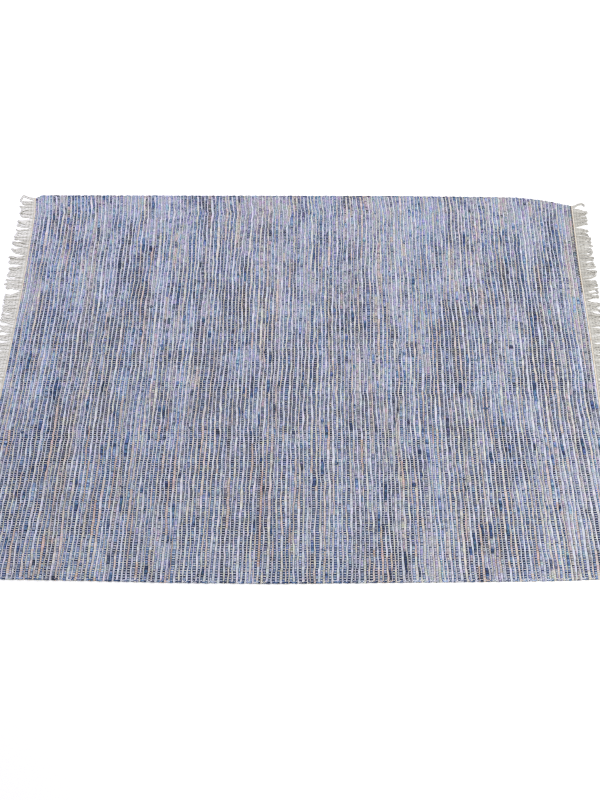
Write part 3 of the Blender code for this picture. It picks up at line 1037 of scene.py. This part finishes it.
# The headings and the fringe. The numbers of the paths are the solids' own.
heading = {
    "wide": 7.5 * mm,               # as it shows; the solid's is wider, under the strands' roots
    "top": 3.8 * mm,
    "grooveDrop": 1.1 * mm,
    "pinch": 0.7 * mm,
    "picks": 3,                     # a tan one at the field and two cream ones
}
fringe = {
    "pitch": 10.45 * mm,
    "tipSpacing": 5.0 * mm,
    "reachJitter": 4.5 * mm,
    "tipJitter": 3.0 * mm,
    "bendShare": (0.35, 0.65),
    # each of the solids' strands is two thinner twisted ends side by side, whose twist has
    # opened: share along, how far each lies from the middle, its width and its height
    "apart": ((0.0, 2.6 * mm), (0.3, 2.3 * mm), (1.0, 2.0 * mm)),
    "wide": ((0.0, 6.0 * mm), (0.2, 5.0 * mm), (0.8, 4.8 * mm), (1.0, 5.4 * mm)),
    "high": ((0.0, 4.4 * mm), (0.8, 2.8 * mm), (1.0, 3.2 * mm)),
    "longer": (2.5 * mm, 6.5 * mm),             # than the solids' strands
    "rootUnder": 2.0 * mm,          # how far the roots reach under the heading
    "lobes": 2,
    "valley": 0.80,
    "turnsOfTwist": 2.4,
    "steps": 18,
    "wave": 2.2 * mm,
    "waves": (0.8, 1.9),
    "crimp": 0.6 * mm,
    "crimps": (2.5, 5.0),
    "part": 1.3 * mm,               # the two ends part by chance
    "partMore": 1.6,                # the strands lie in bunches, more than in the solids
    "stray": 6.0 * mm,              # some strands lie across their neighbours
    "strayShare": 0.55,
    "strayLift": 5.0 * mm,          # at most, over them
    "tipLift": 1.5 * mm,
    "hook": 7.0 * mm,               # and some tips turn aside
    "hookShare": 0.30,
    "hookAt": (0.7, 0.3),           # share along where it begins, and share it takes
    "firstHookAt": (0.8, 0.2),      # the same for the hindmost strand
    "bendPower": 1.5,               # stray and hook grow towards the tip
    "toneSpread": 0.13,
    "seed": 23,
}
ends = {
    "Left": {
        "node": "fringe_left", "x": 0.0, "outward": -1, "reach": 47 * mm, "seed": 42,
        "firstLean": 23 * mm, "firstHook": 18 * mm,     # of the hindmost strand
        "tone": 0.54,
        "longer": ((0.0, 0.0), (0.115, 0.001), (0.130, 0.007), (0.35, 0.006), (0.42, 0.0)),
        # distance from the far end, how far the tips draw back on each side, how far it is felt
        "partings": (
            (0.000, 0.006, 0.030), (0.090, 0.007, 0.025), (0.134, 0.007, 0.012),
            (0.255, 0.004, 0.020), (0.402, 0.009, 0.030), (0.560, 0.005, 0.025),
            (0.735, 0.008, 0.030), (0.930, 0.005, 0.020), (1.120, 0.008, 0.030),
            (1.270, 0.005, 0.025),
        ),
    },
    "Right": {
        "node": "fringe_right", "x": rug["length"], "outward": 1, "reach": 44 * mm, "seed": 43,
        "firstLean": 21 * mm, "firstHook": 10 * mm,
        "tone": 0.20,
        "longer": ((0.0, 0.0), (0.120, 0.0), (0.135, 0.003), (0.35, 0.002)),
        "partings": (
            (0.000, 0.007, 0.030), (0.098, 0.008, 0.022), (0.128, 0.006, 0.010),
            (0.245, 0.006, 0.020), (0.400, 0.008, 0.030), (0.505, 0.005, 0.015),
            (0.700, 0.006, 0.030), (0.860, 0.008, 0.025), (1.050, 0.005, 0.030),
            (1.210, 0.007, 0.025),
        ),
    },
}
fringeDice = np.random.default_rng(fringe["seed"])


def headingMaterial():
    # Unbleached cotton yarn beaten close in plain weave: cream and matt, with a tan first pick.
    material, add = newMaterial("unbleachedCottonPicks")
    weave = add("UVMap", uv_map="weave")
    split = add("SeparateXYZ", [weave])
    pick, warp = split.outputs[0], split.outputs[1]
    pickWide = heading["wide"] / heading["picks"]
    scale = add("VectorMath", [weave, (pickWide / mm, warpStep / mm, 1.0)],
                operation="MULTIPLY")           # in millimetres
    soil = add("TexNoise", {"Vector": scale, "Scale": 0.05, "Detail": 4.0})
    fibre = add("TexNoise", {"Vector": scale, "Scale": 1.4, "Detail": 2.0})
    cream = add("ValToRGB", [soil], ramp=((0.3, "#cbc4b4"), (0.5, "#d6d0c2"), (0.7, "#dfdad0")))
    tan = add("ValToRGB", [soil], ramp=((0.35, "#cab39b"), (0.47, "#d2c6b1"), (0.65, "#d8d1c2")))
    onTan = add("MapRange", [pick, 0.85, 1.05, 1.0, 0.0])
    cloth = add("Mix", {0: onTan, 6: cream, 7: tan}, data_type="RGBA").outputs[2]
    share = add("Math", [pick, 0.5], operation="PINGPONG")
    # painted shade in the grooves between the picks
    cleftShade = add("MapRange", [share, 0.0, 0.14, 0.86, 1.0])
    # the yarn's twist, one turn in 2.5 mm
    slope = add("Math", [pick, 0.6, warp], operation="MULTIPLY_ADD")
    ply = add("Math", [slope, 0.36], operation="PINGPONG")
    relief = add("Math", [ply, fibre], operation="ADD")
    finishCloth(add, darken(add, cloth, cleftShade), relief, 0.5 * mm, 0.7, fibre, (0.80, 0.95),
                (0.08, 0.5))
    return material


def strandMaterial():
    # Warp ends of unbleached cotton, three twisted together and left loose: matt, greyish
    # cream, with painted shade in the twist, and darker towards the tips.
    material, add = newMaterial("twistedCottonEnds")
    split = add("SeparateXYZ", [add("UVMap", uv_map="lay")])
    around, along = split.outputs[0], split.outputs[1]
    place = add("TexCoord").outputs["Object"]
    soil = add("TexNoise", {"Vector": place, "Scale": 22.0, "Detail": 4.0})
    tone = add("Attribute", attribute_name="strandTone").outputs["Fac"]
    shift = add("MapRange", [soil, 0.3, 0.7, -0.12, 0.12])
    tone = add("Math", [tone, shift], operation="ADD")
    cream = add("ValToRGB", [tone], ramp=(
        (0.0, "#b0ada4"), (0.35, "#c7c5bd"), (0.65, "#dad9d3"), (1.0, "#e9e8e5")))
    ply = add("Math", [around, float(fringe["lobes"])], operation="MULTIPLY")
    ply = add("Math", [ply, 0.5], operation="PINGPONG")
    # painted shade in the valleys of the twist
    valley = add("MapRange", [ply, 0.0, 0.22, 0.88, 1.0])
    # darker towards the tips
    tip = add("MapRange", [along, 0.80, 1.0, 1.0, 0.84])
    twistShadeAndTip = add("Math", [valley, tip], operation="MULTIPLY")
    fibre = add("TexNoise", {"Vector": place, "Scale": 1100.0, "Detail": 2.0})
    finishCloth(add, darken(add, cream, twistShadeAndTip), fibre, 0.3 * mm, 0.6, fibre, (0.82, 0.95),
                (0.08, 0.5))
    return material


def makeHeading(side):
    end = ends[side]
    near, far = float(nearY(end["x"])), float(farY(end["x"]))
    acrossSteps = 2 * heading["picks"]
    alongSteps = round((far - near) / warpStep)
    bm, topFaces = closedSlab(acrossSteps, alongSteps)
    topPoints = (acrossSteps + 1) * (alongSteps + 1)
    uvLayer = bm.loops.layers.uv.new("weave")
    bm.verts.index_update()
    for face in bm.faces:
        for loop in face.loops:
            co = loop.vert.co
            loop[uvLayer].uv = ((co.x + 0.5) * heading["picks"], (co.y + 0.5) * alongSteps)
    innerX = end["x"] + end["outward"] * rug["gap"]
    for vert in bm.verts:
        out, step = vert.co.x + 0.5, round((vert.co.y + 0.5) * alongSteps)
        column = round(out * acrossSteps)
        top = heading["top"] - heading["grooveDrop"] * (column % 2 == 0)
        if column % 2 and (column // 2 + step) % 2:
            top -= heading["pinch"]
        vert.co = onRug(innerX + end["outward"] * out * heading["wide"],
                        near + step / alongSteps * (far - near),
                        top if vert.index < topPoints else 0.0)
    bmesh.ops.recalc_face_normals(bm, faces=bm.faces)
    mesh = meshFrom(bm, "heading" + side)
    smoothTop(mesh, topFaces)
    piece = showPiece(mesh, unbleachedCottonPicks)
    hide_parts(end["node"])
    return piece


def strandPaths(end):
    # root and tip along the heading, length and bend of every strand, drawn as the solids' are
    solid = random.Random(end["seed"])
    length = farY(end["x"]) - nearY(end["x"])
    count = round(length / fringe["pitch"])
    roots = [(strand + 0.5) * length / count for strand in range(count)]
    tips = []
    for root in roots:
        drawn = solid.uniform(-fringe["tipJitter"], fringe["tipJitter"])
        for at, draw, felt in end["partings"]:
            drawn += math.copysign(1.0, root - at) * draw * math.exp(-abs(root - at) / felt)
        tips.append(root + drawn)
    forward, backward = list(tips), list(tips)
    for i in range(1, count):
        forward[i] = max(forward[i], forward[i - 1] + fringe["tipSpacing"])
    for i in range(count - 2, -1, -1):
        backward[i] = min(backward[i], backward[i + 1] - fringe["tipSpacing"])
    paths = []
    for root, ahead, behind in zip(roots, forward, backward):
        tip = (ahead + behind) / 2
        reach = end["reach"] + solid.uniform(-fringe["reachJitter"], fringe["reachJitter"])
        bend = root + (tip - root) * solid.uniform(*fringe["bendShare"])
        paths.append((root, bend, tip, reach))
    return paths


def twistedStrand():
    # a lobed section wound along x from 0 to 1, with a radius of 1
    bm = bmesh.new()
    sides = 3 * fringe["lobes"]
    section = bmesh.ops.create_circle(bm, segments=sides, radius=1.0)["verts"]
    for vert in section[::3]:
        vert.co *= fringe["valley"]
    stand = Matrix.Rotation(math.radians(90), 4, "Y")
    bmesh.ops.transform(bm, matrix=stand, verts=section)
    bmesh.ops.spin(bm, geom=bm.edges[:], cent=(0, 0, 0), axis=(1, 0, 0),
                   dvec=(1 / fringe["steps"], 0, 0), angle=math.tau * fringe["turnsOfTwist"],
                   steps=fringe["steps"], use_duplicate=False)
    closeRims(bm, sides)
    return meshFrom(bm, "twistedStrand")


def wavy(along, waves):
    # a wave along the strand, with its number and its start drawn by chance
    count, phase = fringeDice.uniform(*waves), fringeDice.uniform(0, math.tau)
    return np.sin(math.tau * count * along + phase)


def bendStrand(shape, path, end, first):
    # the points of one strand's two ends: the straight shape bent along the strand's path
    root, bend, tip, reach = path
    more = (fringe["partMore"] - 1) * (tip - root)
    bend, tip = bend + more / 2, tip + more
    reach += readTable(end["longer"], root)
    along = np.clip(shape[:, 0], 0, 1)
    curve = root + along * (4 * bend - 3 * root - tip)
    curve += along ** 2 * (2 * root + 2 * tip - 4 * bend)
    curve += fringe["wave"] * along * wavy(along, fringe["waves"])
    stray = fringeDice.normal(0, fringe["stray"]) * (fringeDice.random() < fringe["strayShare"])
    hook = fringeDice.normal(0, fringe["hook"]) * (fringeDice.random() < fringe["hookShare"])
    start, span = fringe["hookAt"]
    lean = stray * along ** fringe["bendPower"]
    curl = hook * np.clip((along - start) / span, 0, 1) ** fringe["bendPower"]
    if first:
        start, span = fringe["firstHookAt"]
        lean = -end["firstLean"] * np.minimum(along / start, 1)
        curl = end["firstHook"] * np.clip((along - start) / span, 0, 1)
    curve += lean + curl
    innerX = end["x"] + end["outward"] * (rug["gap"] + heading["wide"] - fringe["rootUnder"])
    wide, high = readTable(fringe["wide"], along), readTable(fringe["high"], along)
    both = []
    for part in (-1, 1):
        crimp = fringe["crimp"] * np.sqrt(along) * wavy(along, fringe["crimps"])
        apart = readTable(fringe["apart"], along) + fringeDice.normal(0, fringe["part"]) * along
        reached = reach + fringeDice.uniform(*fringe["longer"])
        lift = min(0.5 * abs(stray), fringe["strayLift"]) + fringeDice.uniform(0, fringe["tipLift"])
        x = innerX + end["outward"] * along * reached
        y = farY(end["x"]) - curve - part * apart - crimp + 0.5 * wide * shape[:, 1]
        z = 0.5 * high + lift * along + 0.5 * high * shape[:, 2]
        both.append(onRug(x, y, np.maximum(z, 0)))
    return np.concatenate(both)


def makeFringe(side):
    end = ends[side]
    paths = strandPaths(end)
    shape = readValues(strand.vertices, "co", float, 3)
    bm = bmesh.new()
    for _ in range(2 * len(paths)):
        bm.from_mesh(strand)
    mesh = meshFrom(bm, "fringe" + side)
    placed = np.concatenate([bendStrand(shape, path, end, path is paths[0]) for path in paths])
    mesh.vertices.foreach_set("co", placed.ravel())

    corners = readValues(mesh.loops, "vertex_index")
    starts = readValues(mesh.polygons, "loop_start")
    sides = readValues(mesh.polygons, "loop_total")
    turned = np.arctan2(shape[:, 1], shape[:, 2]) / math.tau + fringe["turnsOfTwist"] * shape[:, 0]
    lay = np.stack((turned, shape[:, 0]), axis=1)[corners % len(shape)]
    # a face that crosses the seam takes the turn of its first corner
    lay[:, 0] -= np.rint(lay[:, 0] - np.repeat(lay[starts, 0], sides))
    tones = fringeDice.normal(end["tone"], fringe["toneSpread"], 2 * len(paths))
    addLayer(mesh, "strandTone", np.repeat(tones, len(shape)))
    addMap(mesh, "lay", lay)
    mesh.polygons.foreach_set("use_smooth", sides == 4)     # the cut ends stay flat
    mesh.update()
    piece = showPiece(mesh, twistedCottonEnds)
    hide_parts(end["node"])
    return piece


unbleachedCottonPicks = headingMaterial()
twistedCottonEnds = strandMaterial()
strand = twistedStrand()
for side, small in zip(ends, (smallPieces[0], smallPieces[-1])):
    small += [makeHeading(side), makeFringe(side)]
    print("heading and fringe made:", side)
for (firstPair, lastPair), band, small in zip(bandRanges, bands, smallPieces):
    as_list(small)
